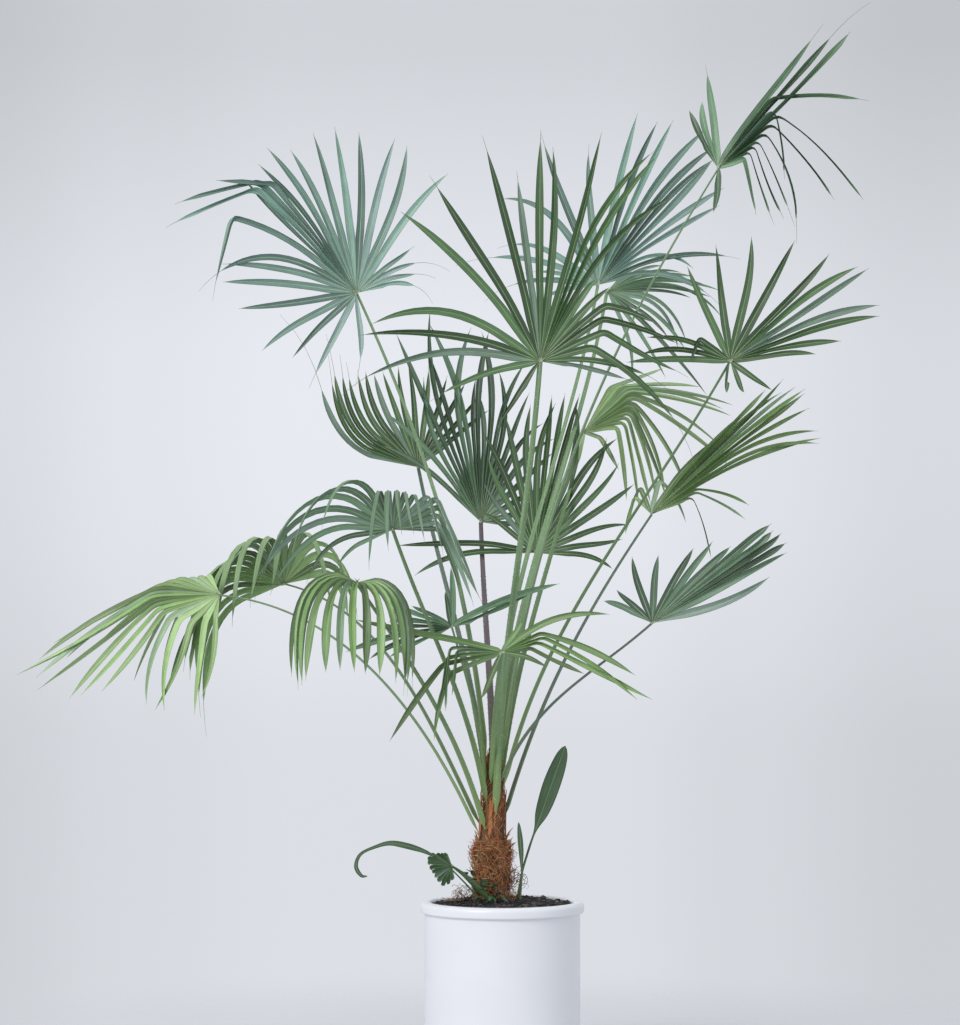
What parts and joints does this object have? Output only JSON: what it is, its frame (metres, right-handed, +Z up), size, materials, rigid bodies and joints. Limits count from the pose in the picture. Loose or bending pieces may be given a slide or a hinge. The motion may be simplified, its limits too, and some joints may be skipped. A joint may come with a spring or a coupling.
{
  "type": "potted fan palm",
  "caption": "Young fan palm with a fibre-clad stem, long-stalked pleated fan leaves and small shoots, in a round glazed pot of compost.",
  "frame": {"origin": "centre of the pot's flat underside", "axes": "+Z up the plant, -Y towards its front, +X to the right as seen from the front"},
  "size_m": [1.4566, 0.9007, 1.8165],
  "materials": {
    "glaze": "gloss",
    "compost": "matte",
    "fibre": "matte",
    "stalk": "satin",
    "leaf": "satin",
    "shoot": "satin"
  },
  "bodies": {
    "root": {"pot": "glaze", "soil": "compost", "trunk": "fibre", "petiole_upper_right": "stalk", "petiole_back_right_top": "stalk", "petiole_top_middle": "stalk", "petiole_upper_left": "stalk", "petiole_front_top": "stalk", "petiole_right_middle": "stalk", "petiole_back_right_middle": "stalk", "petiole_back_left_middle": "stalk", "petiole_right_cupped": "stalk", "petiole_back_left_tall": "stalk", "petiole_front_left_arched": "stalk", "petiole_back_middle": "stalk", "petiole_left_inner": "stalk", "petiole_front_left_low": "stalk", "petiole_far_left": "stalk", "petiole_right_low": "stalk", "petiole_small_left": "stalk", "petiole_small_front": "stalk", "blade_upper_right": "leaf", "blade_back_right_top": "leaf", "blade_top_middle": "leaf", "blade_upper_left": "leaf", "blade_front_top": "leaf", "blade_right_middle": "leaf", "blade_back_right_middle": "leaf", "blade_back_left_middle": "leaf", "blade_right_cupped": "leaf", "blade_back_left_tall": "leaf", "blade_front_left_arched": "leaf", "blade_back_middle": "leaf", "blade_left_inner": "leaf", "blade_front_left_low": "leaf", "blade_far_left": "leaf", "blade_right_low": "leaf", "blade_small_left": "leaf", "blade_small_front": "leaf", "shoot_right_tall": "shoot", "shoot_right_small": "shoot", "shoot_left_blade": "shoot", "shoot_left_stalk": "shoot", "shoot_left_ribbon": "shoot"}
  },
  "joints": []
}
